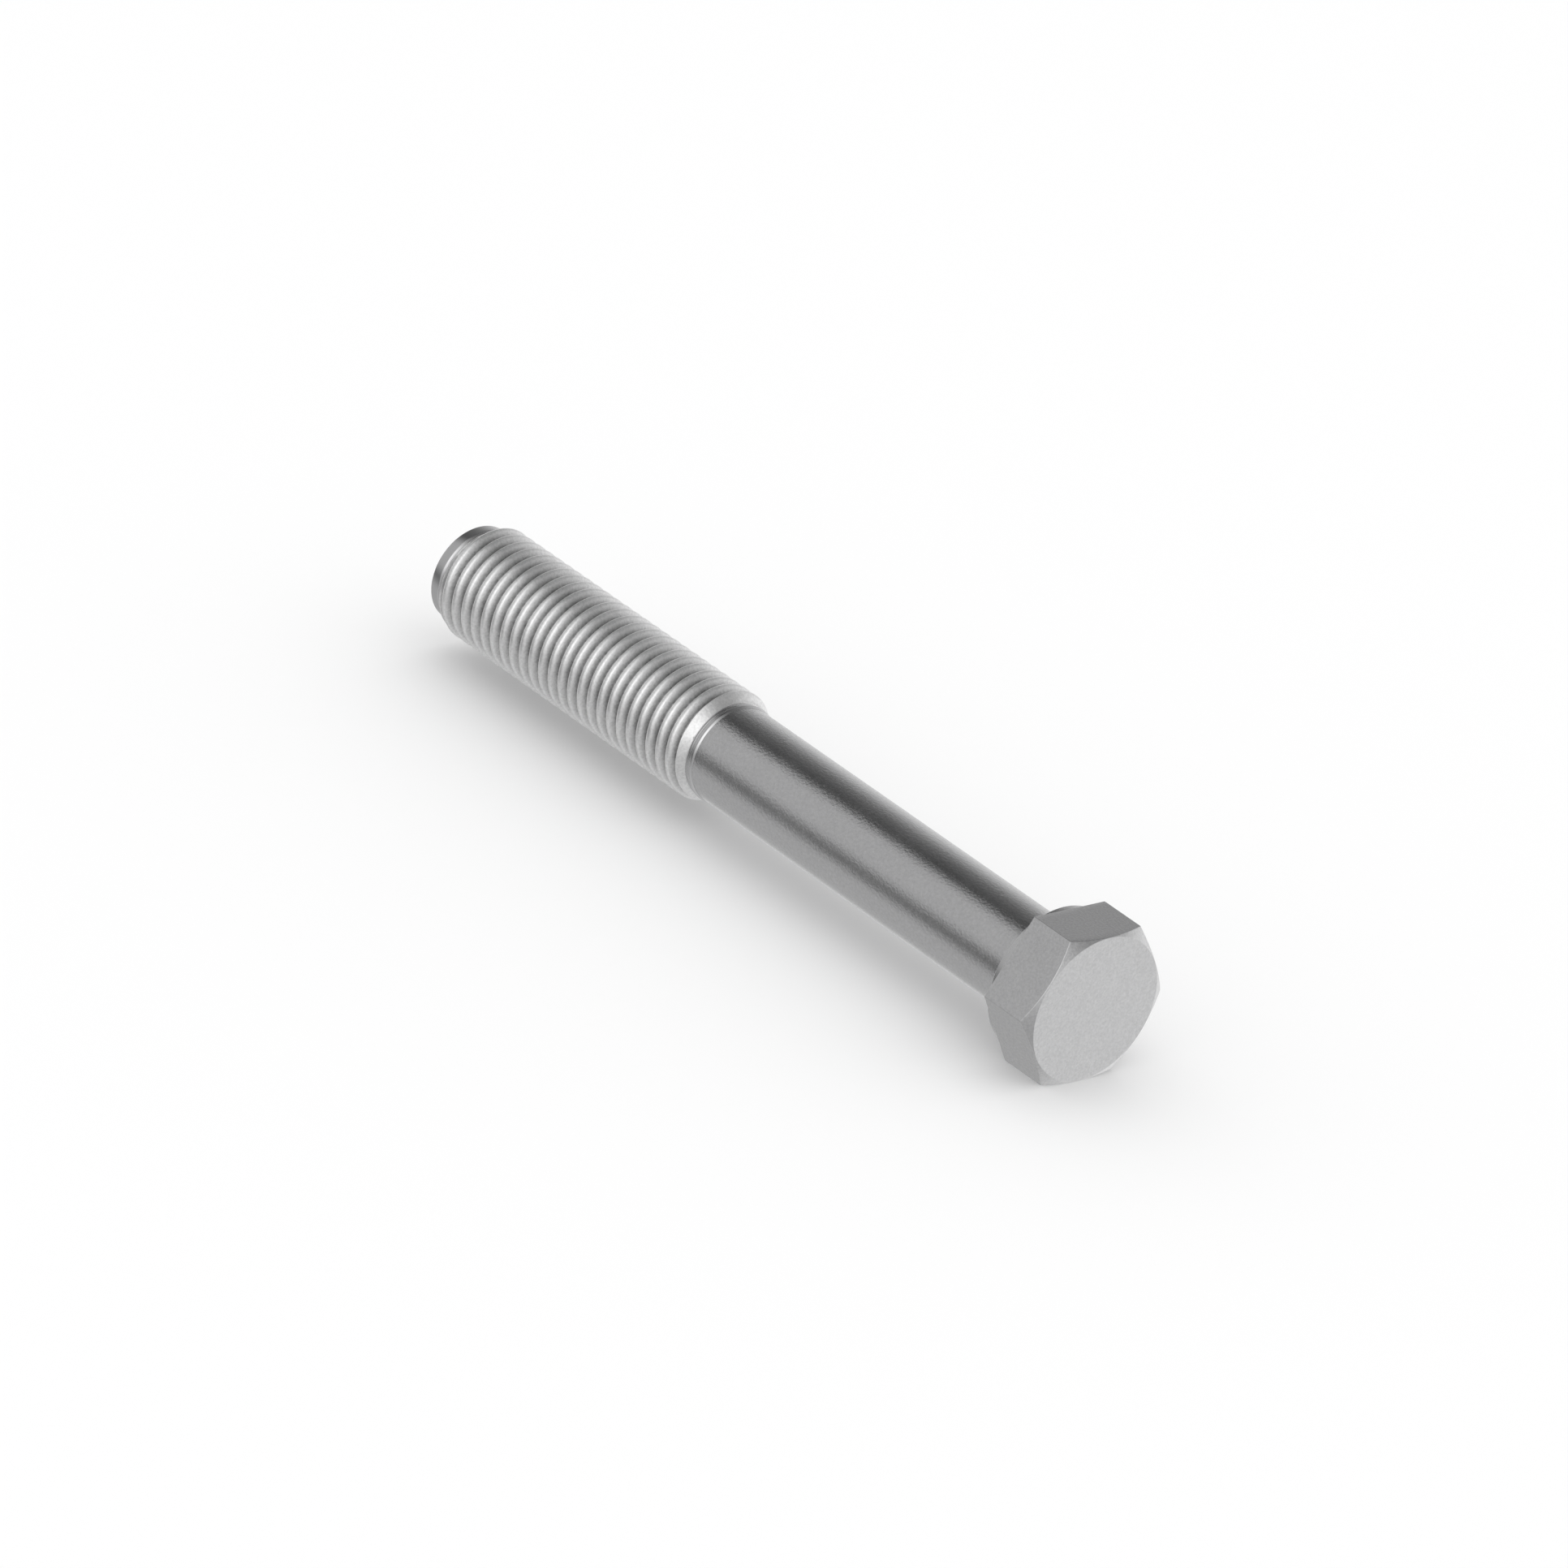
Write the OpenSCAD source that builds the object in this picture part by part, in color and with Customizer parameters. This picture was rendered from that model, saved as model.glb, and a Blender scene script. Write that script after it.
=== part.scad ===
// Long hex bolt with a plain, reduced shank and a coarse right-hand thread.
// It lies along X: the head is at +X, the point at -X, two of the six flats face +Z and -Z,
// and the origin is on the axis in the plane of the bearing face under the head.
// The real bolt is one forging, so every module below is a stretch of the same steel:
// each one ends on a plane where the next one starts.

/* [Head] */
// Width across the flats, which the spanner grips
across_flats = 30; // [24:0.5:40]
// Height of the hexagon, with its chamfer
hex_height = 11.7; // [6:0.1:20]
// Angle of the chamfer that takes the corners off the top of the head
chamfer_angle = 30; // [15:1:35]
// Gap from the flats in to the flat circle on top of the head
chamfer_inset = 0.15; // [0.1:0.05:2]

/* [Washer face] */
// Gap from the flats in to the rim of the washer face
washer_face_inset = 0.2; // [0.1:0.05:2]
// Thickness of the washer face
washer_face_thickness = 1.5; // [0.4:0.1:3]

/* [Shank] */
// Diameter of the plain shank
shank_d = 20; // [14:0.25:20.25]
// Length from the bearing face to the collar at the foot of the shank
shank_length = 93.2; // [30:0.1:200]
// Radius of the fillet under the head
underhead_fillet = 0.8; // [0.3:0.1:1.5]

/* [Relief neck] */
// Height of the rounded collar above the shank
collar_height = 0.3; // [0.1:0.05:0.5]
// Length of the collar
collar_length = 1.1; // [0.6:0.1:3]
// Depth of the relief groove below the shank
neck_depth = 0.4; // [0.2:0.1:2]
// Length of the relief groove
neck_length = 1; // [0.6:0.1:4]

/* [Thread] */
// Diameter over the crests of the thread
thread_d = 23.6; // [23.3:0.1:30]
// Distance from one crest to the next
pitch = 3; // [2.5:0.25:4]
// Length of the thread, with the slopes at both ends
thread_length = 75.6; // [20:0.1:150]
// Radius of the rounded crests
crest_radius = 0.65; // [0.3:0.05:0.7]
// Radius of the rounded roots
root_radius = 0.37; // [0.2:0.01:0.5]
// Angle of the slopes at both ends of the thread, and of the slope up to the point
thread_slope = 50; // [35:1:60]
// Angle round the axis at which the helix starts
thread_start = 270; // [0:5:355]

/* [Point] */
// Diameter of the plain point
point_d = 20.2; // [16:0.1:20.3]
// Length of the plain point
point_length = 3.4; // [2:0.1:10]
// Depth of the groove between the thread and the point
point_groove_depth = 0.6; // [0.1:0.1:1.2]
// Length of the floor of that groove
point_groove_length = 0.4; // [0.2:0.1:1]
// Chamfer round the end of the point
point_chamfer = 0.5; // [0.3:0.1:1.2]

/* [Hidden] */

steel = "#a9aaac";
bright_steel = "#bfc0c2";

// Where each stretch ends, going from the bearing face at x = 0 to the end of the point
fillet_d = shank_d + 2 * underhead_fillet;
neck_x = -shank_length;
collar_end_x = neck_x - collar_length;
thread_x = collar_end_x - neck_length;
point_x = thread_x - thread_length;

// The thread runs in a helix of 60 degree vees with rounded crests and roots
flank_half_angle = 30;
arc_reach = 90 - flank_half_angle;
flank_depth = (pitch / 2 - (crest_radius + root_radius) * sin(arc_reach)) / tan(flank_half_angle);
thread_depth = (crest_radius + root_radius) * (1 - cos(arc_reach)) + flank_depth;
thread_core = thread_d / 2 - thread_depth;

// One pitch of the thread: how far along it each point lies, in pitches, and its radius
crest_arc = [for (a = [-arc_reach, -20, 20, arc_reach])
    [0.5 + crest_radius * sin(a) / pitch, thread_d / 2 - crest_radius * (1 - cos(a))]];
root_edge = root_radius * sin(arc_reach) / pitch;
root_edge_r = thread_core + root_radius * (1 - cos(arc_reach));
thread_profile = concat([[root_edge, root_edge_r]], crest_arc, [[1 - root_edge, root_edge_r]]);

// The more turns the thread has, the fewer steps each turn takes, which keeps the model light
columns = len(thread_profile);
turns = ceil(thread_length / pitch) + 3;
thread_facets = 12000;
steps_per_turn = floor(thread_facets / (2 * columns * turns));

// Radius of the slopes that start the thread, at a distance along it from each end
function slope_radius(x) = min(
    shank_d / 2 + (thread_x - x) * tan(thread_slope),
    point_d / 2 + (x - point_x) * tan(thread_slope));

// A point of the thread's surface: the steps turn round the axis, and the columns cross the turns.
// Points past an end gather on its rim, so that the surface ends flat.
function thread_point(turn, step, column) =
    let (angle = 360 * step / steps_per_turn,
         along = (turn - 2 + step / steps_per_turn + thread_profile[column][0]) * pitch,
         inside = along > 0 && along < thread_length,
         x = inside ? thread_x - along : along > 0 ? point_x : thread_x,
         r = min(inside ? thread_profile[column][1] : root_edge_r, slope_radius(x)))
    [x, r * cos(thread_start + angle), -r * sin(thread_start + angle)];

// Turns the part drawn upright, from z = 0, so that it runs along X away from the head
module along_shank(from_x) {
    translate([from_x, 0, 0]) rotate([0, -90, 0]) children();
}

// The hexagon, with the corners of its top taken off by a cone
module hex_head() {
    corner_r = across_flats / sqrt(3);
    flat_circle_r = across_flats / 2 - chamfer_inset;
    cone_drop = (corner_r + 1 - flat_circle_r) * tan(chamfer_angle);
    color(steel)
        translate([washer_face_thickness, 0, 0])
            rotate([0, 90, 0])
                intersection() {
                    rotate([0, 0, 90]) cylinder(r = corner_r, h = hex_height, $fn = 6);
                    union() {
                        cylinder(r = corner_r + 1, h = hex_height - cone_drop, $fn = 96);
                        translate([0, 0, hex_height - cone_drop])
                            cylinder(r1 = corner_r + 1, r2 = flat_circle_r, h = cone_drop, $fn = 96);
                    }
                }
}

// The turned ring under the hexagon that bears on the work
module washer_face() {
    rim_d = across_flats - 2 * washer_face_inset;
    color(steel)
        rotate([0, 90, 0])
            difference() {
                cylinder(d = rim_d, h = washer_face_thickness, $fn = 96);
                translate([0, 0, -1]) cylinder(d = fillet_d, h = washer_face_thickness + 2, $fn = 96);
            }
}

// The plain shank, which flares into the head through its fillet
module shank() {
    color(steel)
        along_shank(washer_face_thickness)
            rotate_extrude($fn = 96)
                difference() {
                    square([fillet_d / 2, washer_face_thickness + shank_length]);
                    translate([shank_d / 2, washer_face_thickness + underhead_fillet])
                        square([2 * underhead_fillet, shank_length]);
                    translate([fillet_d / 2, washer_face_thickness + underhead_fillet])
                        circle(r = underhead_fillet, $fn = 48);
                }
}

// The low rounded collar at the foot of the shank, and the groove that clears the thread tool
module relief_neck() {
    collar_r = shank_d / 2 + collar_height;
    neck_r = shank_d / 2 - neck_depth;
    color(bright_steel)
        along_shank(neck_x)
            rotate_extrude($fn = 96)
                polygon([
                    [0, 0],
                    [shank_d / 2, 0],
                    [collar_r, collar_height],
                    [collar_r, collar_length - collar_height],
                    [neck_r, collar_length],
                    [neck_r, collar_length + neck_length - neck_depth / 2],
                    [shank_d / 2, collar_length + neck_length],
                    [0, collar_length + neck_length]]);
}

// The rolled thread, as one skin that follows the helix, closed by a flat disc at each end
module thread() {
    rows = steps_per_turn;
    row_length = turns * columns;
    skin = [for (step = [0:rows], turn = [0:turns - 1], column = [0:columns - 1])
        thread_point(turn, step, column)];
    head_end = len(skin);
    point_end = head_end + 1;
    color(bright_steel)
        polyhedron(
            points = concat(skin, [[thread_x, 0, 0], [point_x, 0, 0]]),
            faces = concat(
                [for (step = [0:rows - 1], i = [0:row_length - 2])
                    let (a = step * row_length + i)
                    each [[a, a + row_length, a + 1], [a + 1, a + row_length, a + row_length + 1]]],
                [for (step = [0:rows - 1])
                    let (a = step * row_length)
                    [head_end, a + row_length, a]],
                [for (step = [0:rows - 1])
                    let (a = step * row_length + row_length - 1)
                    [point_end, a, a + row_length]]),
            convexity = 10);
}

// The plain point that leads the thread into the hole, with a groove where the thread ends
module point() {
    point_r = point_d / 2;
    groove_r = point_r - point_groove_depth;
    groove_end = point_groove_length + point_groove_depth / tan(thread_slope);
    color(bright_steel)
        along_shank(point_x)
            rotate_extrude($fn = 96)
                polygon([
                    [0, 0],
                    [groove_r, 0],
                    [groove_r, point_groove_length],
                    [point_r, groove_end],
                    [point_r, point_length - point_chamfer],
                    [point_r - point_chamfer, point_length],
                    [0, point_length]]);
}

hex_head();
washer_face();
shank();
relief_neck();
thread();
point();
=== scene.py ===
# Long steel hex bolt: forged head, turned washer face, reduced shank, rolled thread and plain point.
# It lies along X with the head at +X, and the sections follow it from the head to the point.
import math
from functools import partial

import bmesh
import bpy
import numpy as np
from mathutils import Matrix, Vector


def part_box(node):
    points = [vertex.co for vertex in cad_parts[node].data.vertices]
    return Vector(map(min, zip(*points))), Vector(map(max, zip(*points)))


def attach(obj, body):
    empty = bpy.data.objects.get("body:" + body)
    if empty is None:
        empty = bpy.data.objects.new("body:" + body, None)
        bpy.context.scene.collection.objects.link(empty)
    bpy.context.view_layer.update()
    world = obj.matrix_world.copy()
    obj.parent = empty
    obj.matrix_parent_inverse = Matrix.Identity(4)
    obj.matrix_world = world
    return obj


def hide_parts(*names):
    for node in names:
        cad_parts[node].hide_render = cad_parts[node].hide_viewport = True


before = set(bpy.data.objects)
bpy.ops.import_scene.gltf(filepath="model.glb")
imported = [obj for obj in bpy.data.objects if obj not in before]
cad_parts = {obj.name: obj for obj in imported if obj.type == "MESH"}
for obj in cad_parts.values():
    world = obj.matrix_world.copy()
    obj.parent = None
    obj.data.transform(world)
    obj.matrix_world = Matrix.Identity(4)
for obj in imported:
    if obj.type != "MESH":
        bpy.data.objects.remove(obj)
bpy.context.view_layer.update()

# ---------------------------------------------------------------------------------------------
# Hex head. It is hot forged from the end of the bar and trimmed to a hexagon, and a cone turned
# over its top takes the corners off. Its faces keep the fine, even grain of the forging die.
# ---------------------------------------------------------------------------------------------
head_low, head_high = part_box("hex_head")
HEAD_FLATS = head_high.z - head_low.z
HEAD_CHAMFER = math.radians(30)
HEAD_CHAMFER_INSET = 0.00015
HEAD_EDGE_R = 0.00012
HEAD_CORNER_R = 0.00012
STEEL = (0.66, 0.66, 0.665, 1)
# Height of the finest relief on the steel, and how many soft patches and small spots it has a metre
RELIEF = 0.00001
SOFT_PATCHES = 140.0
SMALL_SPOTS = 900.0


def closed_skin(name, rings, shift=0, edge_angle=32):
    """A closed surface over a grid of rings, each ring a row of points round the axis.

    Point (i, j) joins (i + 1, j) and (i, j + 1). After its last point, ring i carries on into the
    first point of ring i + shift: shift is 0 where a ring closes on itself, and the number of rings
    in one turn where the surface follows a helix. A disc of triangles closes each end on the axis,
    and points that lie together are made one.
    """
    count, steps, _ = rings.shape
    index = np.arange(count * steps).reshape(count, steps)
    carried = index[np.minimum(np.arange(count) + shift, count - 1), 0]
    index = np.hstack([index, carried[:, None]])
    a, b = index[:-1, :-1], index[1:, :-1]
    c, d = index[1:, 1:], index[:-1, 1:]
    quads = np.stack([a, b, c, d], -1).reshape(-1, 4)
    ends = np.array([[rings[0, :, 0].mean(), 0, 0], [rings[-1, :, 0].mean(), 0, 0]])
    points = np.concatenate([rings.reshape(-1, 3), ends])
    first, last = count * steps, count * steps + 1
    start = np.stack([index[0, :-1], index[0, 1:], np.full(steps, first)], -1)
    finish = np.stack([index[-1, 1:], index[-1, :-1], np.full(steps, last)], -1)
    mesh = bpy.data.meshes.new(name)
    mesh.from_pydata(points.tolist(), [], quads.tolist() + start.tolist() + finish.tolist())
    merged = bmesh.new()
    merged.from_mesh(mesh)
    bmesh.ops.remove_doubles(merged, verts=merged.verts, dist=2e-7)
    bmesh.ops.dissolve_degenerate(merged, edges=merged.edges, dist=1e-8)
    bmesh.ops.recalc_face_normals(merged, faces=merged.faces)
    merged.to_mesh(mesh)
    merged.free()
    mesh.shade_smooth()
    mesh.set_sharp_from_angle(angle=math.radians(edge_angle))
    piece = bpy.data.objects.new(name, mesh)
    bpy.context.scene.collection.objects.link(piece)
    return piece


def rounded_section(corners, radii, arc_steps=6):
    """A section line through the corners, each corner turned into an arc of its own radius.

    An arc starts and ends at the distance radius * tan(turn / 2) from its corner, along the two
    lines that meet there, and its points are spaced evenly by angle. A radius of 0 keeps the corner.
    """
    corners = np.asarray(corners, float)
    line = [corners[:1]]
    for before, corner, after, radius in zip(corners[:-2], corners[1:-1], corners[2:], radii):
        come, go = corner - before, after - corner
        come, go = come / np.linalg.norm(come), go / np.linalg.norm(go)
        cross = come[0] * go[1] - come[1] * go[0]
        turn = math.atan2(cross, float(come @ go))
        if radius == 0 or abs(turn) < 1e-6:
            line.append(corner[None])
            continue
        side = math.copysign(1, turn)
        inward = side * radius * np.array([-come[1], come[0]])
        centre = corner - come * radius * math.tan(abs(turn) / 2) + inward
        start = math.atan2(-side * come[0], side * come[1])
        angle = start + turn * np.linspace(0, 1, arc_steps + 1)
        line.append(centre + radius * np.stack([np.cos(angle), np.sin(angle)], -1))
    line.append(corners[-1:])
    return np.concatenate(line)


def spaced(line, longest):
    """The same section line with extra points, so that no stretch of it is longer than that."""
    steps = np.maximum(1, np.ceil(np.linalg.norm(np.diff(line, axis=0), axis=1) / longest)).astype(int)
    start = np.repeat(np.arange(len(steps)), steps)
    part = (np.arange(steps.sum()) - np.repeat(np.cumsum(steps) - steps, steps)) / np.repeat(steps, steps)
    return np.concatenate([line[start] + part[:, None] * (line[start + 1] - line[start]), line[-1:]])


def hexagon_radius(angle, flats, corner_r):
    """Distance from the axis to a hexagon with rounded corners, in the direction of an angle.

    Within a sixth of a turn round a corner, the outline is the nearer of the flat, at
    flats / 2 / cos(angle from its middle), and the corner's arc, centred inside the corner.
    """
    off_corner = (angle + math.pi / 6) % (math.pi / 3) - math.pi / 6
    flat = flats / 2 / np.cos(math.pi / 6 - np.abs(off_corner))
    centre = (flats / 2 - corner_r) / math.cos(math.pi / 6)
    across = centre * np.sin(off_corner)
    arc = centre * np.cos(off_corner) + np.sqrt(np.maximum(corner_r**2 - across**2, 0))
    on_arc = np.abs(across) < corner_r * math.sin(math.pi / 6)
    return np.where(on_arc, np.minimum(flat, arc), flat)


def head_rings():
    """The head's surface: radius and height over the angle round the axis and a parameter along.

    The section runs from the middle of the underside, out to the wall, up it, over the chamfer
    and in across the top. At each angle, the wall's radius is the hexagon's, and the wall ends
    where it meets the cone, so its height is the top less (radius - flat circle) * tan(chamfer).
    """
    corner = np.linspace(-0.3, 0.3, 9)
    side = np.concatenate([np.linspace(-30, -1, 28), corner, np.linspace(1, 30, 28)[:-1]])
    angle = np.radians(np.concatenate([side + 60 * k for k in range(6)]))
    wall = hexagon_radius(angle, HEAD_FLATS, HEAD_CORNER_R)
    circle = HEAD_FLATS / 2 - HEAD_CHAMFER_INSET
    drop = (wall - circle) * math.tan(HEAD_CHAMFER)
    low, top = head_low.x, head_high.x
    edge = HEAD_EDGE_R
    rings = []
    for part in np.linspace(0.02, 0.97, 8):
        rings.append((wall * part, np.full_like(wall, low)))
    for turn in np.linspace(0, math.pi / 2, 6):
        rings.append((wall - edge + edge * math.sin(turn), low + edge - edge * math.cos(turn) + 0 * wall))
    rim = edge * math.tan((math.pi / 2 - HEAD_CHAMFER) / 2)
    foot = low + edge
    for part in np.linspace(0, 1, 9)[1:-1]:
        rings.append((wall, foot + (top - drop - rim - foot) * part))
    for turn in np.linspace(0, math.pi / 2 - HEAD_CHAMFER, 6):
        rings.append((wall - edge + edge * math.cos(turn), top - drop - rim + edge * math.sin(turn)))
    slope_out = wall - edge + edge * math.cos(math.pi / 2 - HEAD_CHAMFER)
    shoulder = edge * math.tan(HEAD_CHAMFER / 2)
    slope_in = np.minimum(circle + shoulder * math.cos(HEAD_CHAMFER), slope_out)
    for part in np.linspace(0, 1, 8)[1:-1]:
        radius = slope_out + (slope_in - slope_out) * part
        rings.append((radius, top - (radius - circle) * math.tan(HEAD_CHAMFER)))
    for turn in np.linspace(math.pi / 2 - HEAD_CHAMFER, math.pi / 2, 5):
        rings.append((np.full_like(wall, circle - shoulder + edge * math.cos(turn)),
                      np.full_like(wall, top - edge + edge * math.sin(turn))))
    for part in np.linspace(0.985, 0.02, 12):
        rings.append((np.full_like(wall, (circle - shoulder) * part), np.full_like(wall, top)))
    radius = np.stack([r for r, _ in rings])
    along = np.stack([x for _, x in rings])
    return np.stack([along, radius * np.cos(angle), radius * np.sin(angle)], -1)


def node_maths(tree, operation, *inputs):
    """A Math node in a tree. Each of its inputs is a number or another node's output."""
    node = tree.nodes.new("ShaderNodeMath")
    node.operation = operation
    for socket, value in zip(node.inputs, inputs):
        if isinstance(value, (int, float)):
            socket.default_value = value
        else:
            tree.links.new(value, socket)
    return node.outputs[0]


def steel_material(name, metal=STEEL, metallic=1.0, roughness=0.22, grain=0.0, grain_size=0.0004,
                   speckle=0.0, turning=0.0, turning_pitch=0.0002, mottle=0.05, wear=0.0, painted_shade=0.0):
    """Bare steel: one shader, with the shared groups placed in it at this finish's own values."""
    material = bpy.data.materials.new(name)
    material.use_nodes = True
    nodes, links = material.node_tree.nodes, material.node_tree.links
    shader = nodes["Principled BSDF"]
    shader.inputs["Metallic"].default_value = metallic
    finish = nodes.new("ShaderNodeGroup")
    finish.node_tree = steel_finish
    for socket, value in (("Metal", metal), ("Roughness", roughness), ("Mottle", mottle), ("Wear", wear),
                          ("Grain", grain), ("Grain Size", grain_size), ("Speckle", speckle),
                          ("Turning", turning), ("Turning Pitch", turning_pitch), ("Painted Shade", painted_shade)):
        finish.inputs[socket].default_value = value
    bump = nodes.new("ShaderNodeBump")
    bump.inputs["Strength"].default_value = 1.0
    bump.inputs["Distance"].default_value = RELIEF
    links.new(finish.outputs["Color"], shader.inputs["Base Color"])
    links.new(finish.outputs["Roughness"], shader.inputs["Roughness"])
    links.new(finish.outputs["Height"], bump.inputs["Height"])
    links.new(bump.outputs["Normal"], shader.inputs["Normal"])
    return material


def make_steel_finish():
    """The node group for every steel finish.

    Colour is the metal's, varied a little by large soft noise and by fine speckle, lightened on worn
    edges, which the mesh's pointiness shows, and darkened by painted shade, in spots, where the piece is
    marked for it.
    Roughness follows the soft noise and the turning lines. Height adds a fine grain, from noise in
    all directions, and the turning lines, from noise that is stretched round the axis.
    """
    group = bpy.data.node_groups.new("steel_finish", "ShaderNodeTree")
    face = group.interface
    metal = face.new_socket(name="Metal", in_out="INPUT", socket_type="NodeSocketColor")
    metal.default_value = STEEL
    for label in ("Roughness", "Mottle", "Wear", "Grain", "Grain Size", "Speckle", "Turning",
                  "Turning Pitch", "Painted Shade"):
        face.new_socket(name=label, in_out="INPUT", socket_type="NodeSocketFloat")
    face.new_socket(name="Color", in_out="OUTPUT", socket_type="NodeSocketColor")
    face.new_socket(name="Roughness", in_out="OUTPUT", socket_type="NodeSocketFloat")
    face.new_socket(name="Height", in_out="OUTPUT", socket_type="NodeSocketFloat")
    nodes, links = group.nodes, group.links
    values = nodes.new("NodeGroupInput").outputs
    result = nodes.new("NodeGroupOutput").inputs

    maths = partial(node_maths, group)

    def noise(place, scale, detail, rough=0.5):
        """Noise about 0 at a place, with so many swells a metre."""
        node = nodes.new("ShaderNodeTexNoise")
        node.inputs["Detail"].default_value = detail
        node.inputs["Roughness"].default_value = rough
        links.new(place, node.inputs["Vector"])
        if isinstance(scale, (int, float)):
            node.inputs["Scale"].default_value = scale
        else:
            links.new(scale, node.inputs["Scale"])
        return maths("SUBTRACT", node.outputs["Fac"], 0.5)

    place = nodes.new("ShaderNodeTexCoord").outputs["Object"]
    split = nodes.new("ShaderNodeSeparateXYZ")
    links.new(place, split.inputs[0])
    x, y, z = split.outputs
    from_axis = maths("SQRT", maths("ADD", maths("MULTIPLY", y, y), maths("MULTIPLY", z, z)))
    round_axis = maths("MULTIPLY", maths("ARCTAN2", z, y), 0.0006)
    lathe = nodes.new("ShaderNodeCombineXYZ")
    for value, socket in zip((x, from_axis, round_axis), lathe.inputs):
        links.new(value, socket)

    soft = noise(place, SOFT_PATCHES, 3.0)
    spots = noise(place, SMALL_SPOTS, 3.0, 0.6)
    fine = noise(place, maths("DIVIDE", 1.0, values["Grain Size"]), 4.0, 0.65)
    lines = noise(lathe.outputs[0], maths("DIVIDE", 1.0, values["Turning Pitch"]), 3.0, 0.6)
    edge = nodes.new("ShaderNodeNewGeometry").outputs["Pointiness"]
    worn = nodes.new("ShaderNodeMapRange")
    worn.inputs["From Min"].default_value = 0.52
    worn.inputs["From Max"].default_value = 0.62
    links.new(edge, worn.inputs["Value"])
    worn = maths("MULTIPLY", worn.outputs[0], values["Wear"])

    level = maths("ADD", maths("MULTIPLY", soft, values["Mottle"]), worn)
    level = maths("ADD", level, maths("MULTIPLY", fine, values["Speckle"]))
    # Painted shade: the colour is darkened where the mesh's own attribute marks shade, broken up by the small
    # spots
    groove_shade = nodes.new("ShaderNodeAttribute")
    groove_shade.attribute_name = "groove_shade"
    groove_shading = maths("MULTIPLY", groove_shade.outputs["Fac"], maths("ADD", 1.0, spots))
    level = maths("SUBTRACT", level, maths("MULTIPLY", groove_shading, values["Painted Shade"]))
    tint = nodes.new("ShaderNodeMix")
    tint.data_type = "RGBA"
    tint.blend_type = "ADD"
    tint.inputs["Factor"].default_value = 1.0
    links.new(values["Metal"], tint.inputs["A"])
    links.new(level, tint.inputs["B"])
    links.new(tint.outputs["Result"], result["Color"])
    in_patches = maths("MULTIPLY", soft, 0.12)
    in_lines = maths("MULTIPLY", lines, maths("MULTIPLY", values["Turning"], 0.1))
    links.new(maths("ADD", values["Roughness"], maths("ADD", in_patches, in_lines)), result["Roughness"])
    grain = maths("MULTIPLY", fine, values["Grain"])
    turning = maths("MULTIPLY", lines, values["Turning"])
    links.new(maths("ADD", grain, turning), result["Height"])
    return group


steel_finish = make_steel_finish()
hex_head = closed_skin("forged_hex_head", head_rings(), edge_angle=20)
hex_head.data.materials.append(
    steel_material("forged_steel", roughness=0.24, grain=2.5, grain_size=0.0005, speckle=0.3, mottle=0.04))
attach(hex_head, "root")
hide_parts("hex_head")

# ---------------------------------------------------------------------------------------------
# Washer face. The round step under the hexagon, turned in the same steel after forging, so that
# the head bears on a clean flat ring. Its rim is broken to a small radius.
# ---------------------------------------------------------------------------------------------
washer_low, washer_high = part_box("washer_face")
RING_RIM_R = 0.00025
ROUND_STEPS = 256


def turned(name, corners, radii, longest=0.002, arc_steps=6):
    """A turned form: a rounded section of (x, radius) points, carried once round the X axis."""
    line = spaced(rounded_section(corners, radii, arc_steps), longest)
    angle = np.linspace(0, 2 * math.pi, ROUND_STEPS, endpoint=False)
    x, radius = line[:, :1], line[:, 1:]
    rings = np.stack([x + 0 * angle, radius * np.cos(angle), radius * np.sin(angle)], -1)
    return closed_skin(name, rings)


ring_r = washer_high.z
washer_face = turned(
    "turned_washer_face",
    [(washer_high.x, 0.001), (washer_high.x, ring_r), (washer_low.x, ring_r), (washer_low.x, 0.001)],
    [0, RING_RIM_R])
washer_face.data.materials.append(
    steel_material("turned_steel", roughness=0.26, grain=0.25, turning=0.8, turning_pitch=0.00016,
                   wear=0.05))
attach(washer_face, "root")
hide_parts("washer_face")

# ---------------------------------------------------------------------------------------------
# Shank. The plain stretch of drawn bar, thinner than the thread, which stretches evenly when the
# bolt is tightened. It flares into the washer face through a fillet, and is polished by the die.
# ---------------------------------------------------------------------------------------------
shank_low, shank_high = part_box("shank")
UNDERHEAD_FILLET = 0.0008
INTO_RING = 0.0002
fillet_r = shank_high.z
shank_r = fillet_r - UNDERHEAD_FILLET
shank_top = washer_low.x + INTO_RING
shank = turned(
    "drawn_shank",
    [(shank_top, 0.001), (shank_top, fillet_r), (washer_low.x, fillet_r), (washer_low.x, shank_r),
     (shank_low.x, shank_r), (shank_low.x, 0.001)],
    [0, 0, UNDERHEAD_FILLET, 0], longest=0.003, arc_steps=12)
shank.data.materials.append(
    steel_material("drawn_steel", roughness=0.15, grain=7.0, grain_size=0.0006, speckle=0.22, turning=0.15,
                   turning_pitch=0.0003, mottle=0.04))
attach(shank, "root")
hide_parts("shank")

# ---------------------------------------------------------------------------------------------
# Relief neck. A low rounded collar at the foot of the shank, and the turned groove after it that
# gives the thread rolls a place to run out. Both are cut in the same bar.
# ---------------------------------------------------------------------------------------------
neck_low, neck_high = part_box("relief_neck")
COLLAR_LENGTH = 0.0011
NECK_DEPTH = 0.0004
collar_r = neck_high.z
neck_r = shank_r - NECK_DEPTH
collar_end = neck_high.x - COLLAR_LENGTH
collar_rise = collar_r - shank_r
relief_neck = turned(
    "turned_relief_neck",
    [(neck_high.x, 0.001), (neck_high.x, shank_r), (neck_high.x - collar_rise, collar_r),
     (collar_end + collar_rise, collar_r), (collar_end, neck_r), (neck_low.x + NECK_DEPTH / 2, neck_r),
     (neck_low.x, shank_r), (neck_low.x, 0.001)],
    [0.00005, 0.0002, 0.0002, 0.00012, 0.00012, 0.00002], longest=0.0004)
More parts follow.
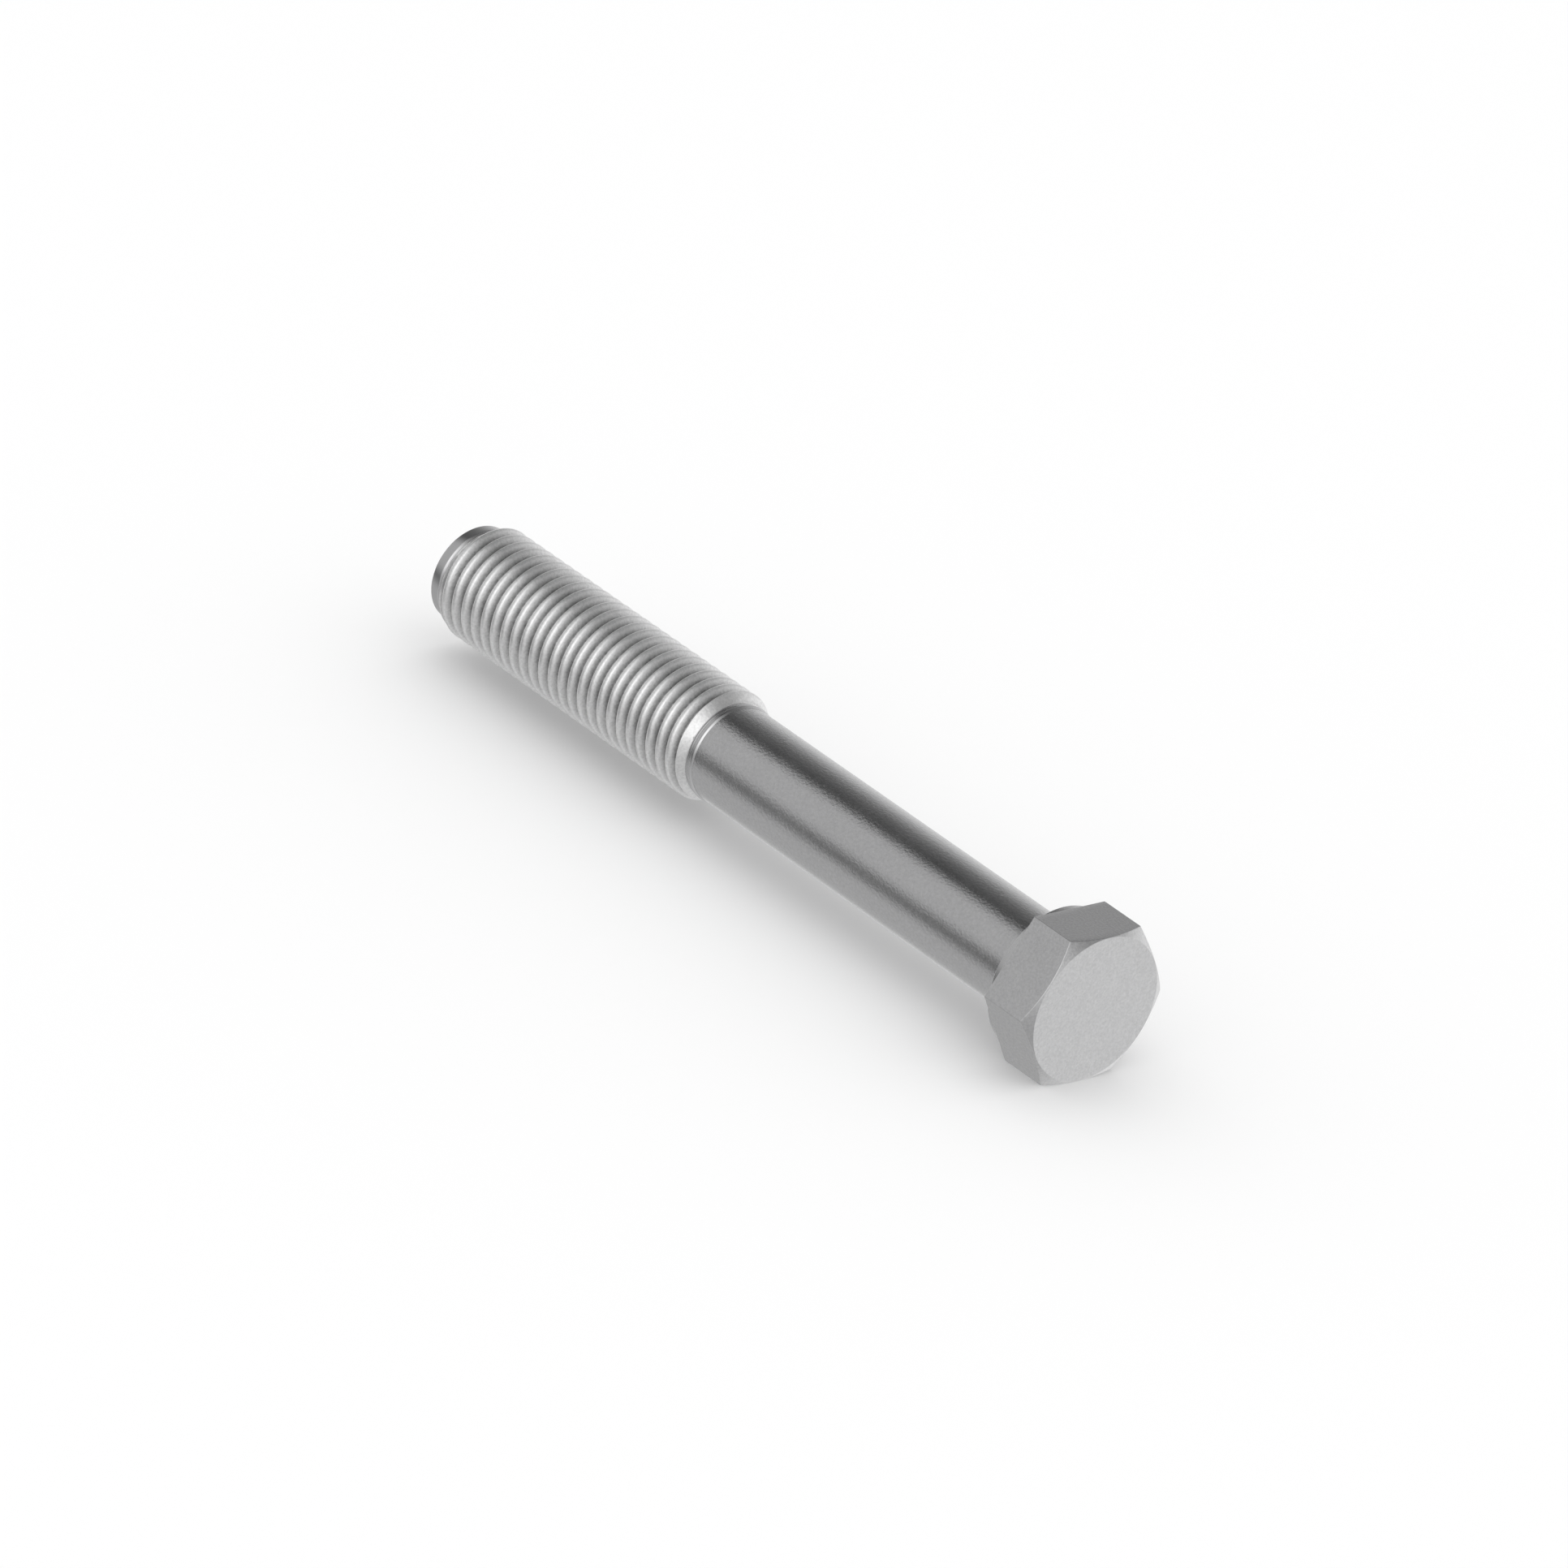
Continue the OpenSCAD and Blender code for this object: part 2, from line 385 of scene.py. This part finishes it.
relief_neck.data.materials.append(
    steel_material("neck_steel", roughness=0.2, grain=0.25, turning=0.5, turning_pitch=0.00012))
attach(relief_neck, "root")
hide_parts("relief_neck")

# ---------------------------------------------------------------------------------------------
# Thread. A right-hand helix of rounded 60 degree vees, rolled between dies, so the crests are
# burnished and stand above the shank. It starts and ends on a slope turned on the blank.
# ---------------------------------------------------------------------------------------------
thread_low, thread_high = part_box("thread")
PITCH = 0.003
CREST_R = 0.00065
ROOT_R = 0.00037
FLANK = math.radians(30)
THREAD_SLOPE = math.radians(50)
THREAD_OUTER = 0.0118
THREAD_START = math.radians(270)
STEPS_PER_TURN = 150
CREST_STEPS = 9
ROOT_STEPS = 5
FLANK_STEPS = 3
# How far the painted shade in the thread's grooves takes to fade out into the slope at each end
GROOVE_SHADE_FADE = 0.0012
point_low, point_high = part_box("point")


def thread_profile():
    """One pitch of the thread, from root to root: how far along it each point lies, and its radius.

    The crest is an arc of the crest radius that turns 60 degrees to each side of its top, the root
    is half an arc of the root radius at each end, and straight flanks join the two.
    """
    reach = math.pi / 2 - FLANK
    depth = ((CREST_R + ROOT_R) * (1 - math.cos(reach))
             + (PITCH / 2 - (CREST_R + ROOT_R) * math.sin(reach)) / math.tan(FLANK))
    core = THREAD_OUTER - depth
    turn = np.linspace(0, reach, ROOT_STEPS)
    root = np.stack([ROOT_R * np.sin(turn), core + ROOT_R * (1 - np.cos(turn))], -1)
    turn = np.linspace(-reach, reach, CREST_STEPS)
    crest = np.stack([PITCH / 2 + CREST_R * np.sin(turn), THREAD_OUTER - CREST_R * (1 - np.cos(turn))], -1)
    part = np.linspace(0, 1, FLANK_STEPS + 1)[1:-1, None]
    rise = root[-1] + part * (crest[0] - root[-1])
    half = np.concatenate([root, rise, crest])
    back = np.concatenate([rise, root])[1:] * [-1, 1] + [PITCH, 0]
    return np.concatenate([half, back[::-1]])[:-1]


def slope_radius(x):
    """Radius of the slopes: each rises from the rim of its neighbour by tan(slope) * distance."""
    return np.minimum(shank_r + (thread_high.x - x) * math.tan(THREAD_SLOPE),
                      point_high.z + (x - thread_low.x) * math.tan(THREAD_SLOPE))


def thread_rings():
    """The thread's surface over the columns along it and the steps round it.

    The first column starts two turns before the thread does. Column i of a turn at step j lies
    (turn - 2 + j / steps) * pitch + profile along from the start, at the profile's radius, and its
    place round the axis is (x, r cos, -r sin), which winds right-handed. The radius is held under
    the slope at each end, and columns past an end gather on its rim.
    """
    profile = thread_profile()
    length = thread_high.x - thread_low.x
    turns = math.ceil(length / PITCH) + 3
    step = np.arange(STEPS_PER_TURN) / STEPS_PER_TURN
    start = (np.arange(turns)[:, None] - 2) * PITCH + profile[None, :, 0]
    along = start.reshape(-1, 1) + step * PITCH
    radius = np.tile(profile[:, 1], turns)[:, None] + 0 * step
    x = thread_high.x - np.clip(along, 0, length)
    radius = np.minimum(radius, slope_radius(x))
    radius = np.where(along <= 0, shank_r, np.where(along >= length, point_high.z, radius))
    angle = THREAD_START + 2 * math.pi * step
    return np.stack([x, radius * np.cos(angle), -radius * np.sin(angle)], -1), len(profile)


rings, columns = thread_rings()
thread = closed_skin("rolled_thread", rings, shift=columns, edge_angle=40)


def shade_between_crests(piece):
    """Marks how much painted shade each point of the thread gets, by how far it lies between one root and the
    next.

    That part of a pitch is (distance from the thread's start) / pitch less the turn round the axis.
    The crests are left bright, the flanks are darkened on both sides and the roots most: painted shade
    in the grooves between the ridges, which in part also stands for a duller finish on the flanks than
    on the die-rubbed crests. The painted shade fades out where the thread rises into the slope at either end.
    """
    co = np.empty(len(piece.data.vertices) * 3)
    piece.data.vertices.foreach_get("co", co)
    x, y, z = co.reshape(-1, 3).T
    turned_by = (np.arctan2(-z, y) - THREAD_START) / (2 * math.pi)
    part = ((thread_high.x - x) / PITCH - turned_by) % 1
    painted_shade = np.interp(np.abs(part - 0.5), (0, 0.2, 0.35, 0.42, 0.5), (0, 0, 1, 2, 2))
    under_slope = np.clip((slope_radius(x) - np.hypot(y, z)) / GROOVE_SHADE_FADE, 0, 1)
    piece.data.attributes.new("groove_shade", "FLOAT", "POINT").data.foreach_set("value", painted_shade * under_slope)


shade_between_crests(thread)
# The thread's finish is set a little lighter and less metallic than the other stretches, with painted shade
# darkening its grooves
thread.data.materials.append(
    steel_material("rolled_steel", metal=(0.84, 0.84, 0.84, 1), metallic=0.85, roughness=0.3,
                   grain=3.5, grain_size=0.0005, speckle=0.5, mottle=0.12, painted_shade=0.28))
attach(thread, "root")
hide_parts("thread")

# ---------------------------------------------------------------------------------------------
# Point. The plain turned end of the bar, which leads the thread into its hole. A groove is cut where
# the thread ends, the outer edge is chamfered, and the end face is left as it was faced off.
# ---------------------------------------------------------------------------------------------
POINT_CHAMFER = 0.0005
GROOVE_DEPTH = 0.0006
GROOVE_FLOOR = 0.0004
point_r = point_high.z
groove_r = point_r - GROOVE_DEPTH
groove_low = point_high.x - GROOVE_FLOOR
groove_end = groove_low - GROOVE_DEPTH / math.tan(THREAD_SLOPE)
point = turned(
    "turned_point",
    [(point_high.x, 0.001), (point_high.x, groove_r), (groove_low, groove_r), (groove_end, point_r),
     (point_low.x + POINT_CHAMFER, point_r), (point_low.x, point_r - POINT_CHAMFER),
     (point_low.x, 0.0005)],
    [0, 0.0003, 0.0003, 0.0004, 0.0004], longest=0.001)
point.data.materials.append(
    steel_material("faced_steel", roughness=0.22, grain=0.25, turning=0.6, turning_pitch=0.00014))
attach(point, "root")
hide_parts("point")

# ---------------------------------------------------------------------------------------------
# Stage. A pale floor under the head's lower flat, and a soft studio tent round the bolt. Steel shows
# only what it mirrors, so the pale wall of the tent is lit on one side and carries two dark cards.
# ---------------------------------------------------------------------------------------------
floor_mesh = bpy.data.meshes.new("studio_floor")
FLOOR_REACH = 6
FLOOR_GAP = 0.00002
floor_z = head_low.z - FLOOR_GAP
floor_corners = [(FLOOR_REACH * x, FLOOR_REACH * y, floor_z) for x, y in ((-1, -1), (1, -1), (1, 1), (-1, 1))]
floor_mesh.from_pydata(floor_corners, [], [(0, 1, 2, 3)])
floor = bpy.data.objects.new("studio_floor", floor_mesh)
bpy.context.scene.collection.objects.link(floor)
floor_paint = bpy.data.materials.new("floor_paint")
floor_paint.use_nodes = True
floor_shader = floor_paint.node_tree.nodes["Principled BSDF"]
floor_shader.inputs["Base Color"].default_value = (0.90, 0.90, 0.90, 1)
floor_shader.inputs["Roughness"].default_value = 0.9
floor_mesh.materials.append(floor_paint)
floor.visible_glossy = False

# The tent's brightness by the angle round the bolt's axis, in degrees from +Y over the top: a pale
# wall of 0.6, lit to 1 at 320, with a wide dark card from 50 to 90 and a narrow one at 195
TENT_ROUND = ((0, 0.9), (50, 0.2), (90, 0.05), (110, 0.6), (170, 0.6), (195, 0.15), (220, 0.6),
              (290, 0.6), (320, 1.0), (360, 0.9))
# How much brighter it is along the bolt, by how far a direction points along X: the tent is lit
# behind the point and across its middle
TENT_ALONG = ((-1, 1.4), (-0.7, 1.0), (0.3, 1.4), (0.6, 1.0), (1, 1.0))
# The strips and cards stop at the plain end wall beyond the head, and how far along X it takes over
TENT_END_WALL = 0.5
TENT_END_START = ((0.8, 0), (0.95, 1))
# A soft round lamp beyond the head: the direction it lies in, and its glow by how nearly a direction
# points at it
TENT_LAMP = (0.75, -0.55, 0.37)
TENT_LAMP_GLOW = ((0.6, 0), (0.9, 0.5), (1, 1.3))
# The even light that falls on the floor and into dull surfaces
TENT_FILL = 1.4


def tone_ramp(tree, value, stops):
    """Brightness by a value, in straight lines between stops of (value, brightness)."""
    low, high = stops[0][0], stops[-1][0]
    top = max(tone for _, tone in stops)
    spread = tree.nodes.new("ShaderNodeMapRange")
    spread.inputs["From Min"].default_value = low
    spread.inputs["From Max"].default_value = high
    tree.links.new(value, spread.inputs["Value"])
    ramp = tree.nodes.new("ShaderNodeValToRGB")
    elements = ramp.color_ramp.elements
    for number, (at, tone) in enumerate(stops):
        place = (at - low) / (high - low)
        element = elements[number] if number < 2 else elements.new(place)
        element.position = place
        element.color = (tone / top, tone / top, tone / top, 1)
    tree.links.new(spread.outputs[0], ramp.inputs[0])
    return node_maths(tree, "MULTIPLY", ramp.outputs[0], top)


world = bpy.data.worlds.new("studio_tent")
bpy.context.scene.world = world
world.use_nodes = True
tent = world.node_tree
tent.nodes.clear()
tent_maths = partial(node_maths, tent)
heading = tent.nodes.new("ShaderNodeTexCoord").outputs["Generated"]
direction = tent.nodes.new("ShaderNodeSeparateXYZ")
tent.links.new(heading, direction.inputs[0])
tent_x, tent_y, tent_z = direction.outputs
turn = tent_maths("DIVIDE", tent_maths("ARCTAN2", tent_z, tent_y), 2 * math.pi)
turn = tent_maths("MULTIPLY", tent_maths("FRACT", tent_maths("ADD", turn, 1.0)), 360.0)
near_lamp = tent.nodes.new("ShaderNodeVectorMath")
near_lamp.operation = "DOT_PRODUCT"
near_lamp.inputs[1].default_value = TENT_LAMP
tent.links.new(heading, near_lamp.inputs[0])

# The strips and cards, then the end wall in their place beyond the head, and the lamp's glow on top
strips = tent_maths("MULTIPLY", tone_ramp(tent, turn, TENT_ROUND), tone_ramp(tent, tent_x, TENT_ALONG))
end_share = tone_ramp(tent, tent_x, TENT_END_START)
end_change = tent_maths("MULTIPLY", end_share, tent_maths("SUBTRACT", TENT_END_WALL, strips))
glow = tone_ramp(tent, near_lamp.outputs["Value"], TENT_LAMP_GLOW)
mirrored = tent.nodes.new("ShaderNodeBackground")
tent.links.new(tent_maths("ADD", tent_maths("ADD", strips, end_change), glow), mirrored.inputs["Strength"])

# Only reflections see the tent: every other ray is lit by the even fill
fill = tent.nodes.new("ShaderNodeBackground")
fill.inputs["Strength"].default_value = TENT_FILL
chosen = tent.nodes.new("ShaderNodeMixShader")
tent.links.new(tent.nodes.new("ShaderNodeLightPath").outputs["Is Glossy Ray"], chosen.inputs["Fac"])
tent.links.new(fill.outputs[0], chosen.inputs[1])
tent.links.new(mirrored.outputs[0], chosen.inputs[2])
tent.links.new(chosen.outputs[0], tent.nodes.new("ShaderNodeOutputWorld").inputs["Surface"])

# ---------------------------------------------------------------------------------------------
# Camera. A long lens, high on the side of the head, rolled a little so that the bolt runs from the
# lower right to the upper left.
# ---------------------------------------------------------------------------------------------
CAMERA_AIM = Vector((-0.07896, 0.00061, 0.00089))
CAMERA_AWAY = 2.41676
CAMERA_TURN = math.radians(45.582)
CAMERA_RISE = math.radians(25.659)
CAMERA_ROLL = math.radians(11.145)
CAMERA_LENS = 294.86
CAMERA_SENSOR = 36
back = Vector((math.sin(CAMERA_TURN) * math.cos(CAMERA_RISE),
               -math.cos(CAMERA_TURN) * math.cos(CAMERA_RISE), math.sin(CAMERA_RISE)))
level = Vector((math.cos(CAMERA_TURN), math.sin(CAMERA_TURN), 0))
upright = back.cross(level)
right = math.cos(CAMERA_ROLL) * level + math.sin(CAMERA_ROLL) * upright
up = math.cos(CAMERA_ROLL) * upright - math.sin(CAMERA_ROLL) * level
lens = bpy.data.cameras.new("studio_camera")
lens.lens = CAMERA_LENS
lens.sensor_width = CAMERA_SENSOR
lens.clip_start = 0.1
lens.clip_end = 50
camera = bpy.data.objects.new("studio_camera", lens)
bpy.context.scene.collection.objects.link(camera)
facing = Matrix((right, up, back)).transposed().to_4x4()
camera.matrix_world = Matrix.Translation(CAMERA_AIM + CAMERA_AWAY * back) @ facing
bpy.context.scene.camera = camera
bpy.context.scene.view_settings.view_transform = "Standard"
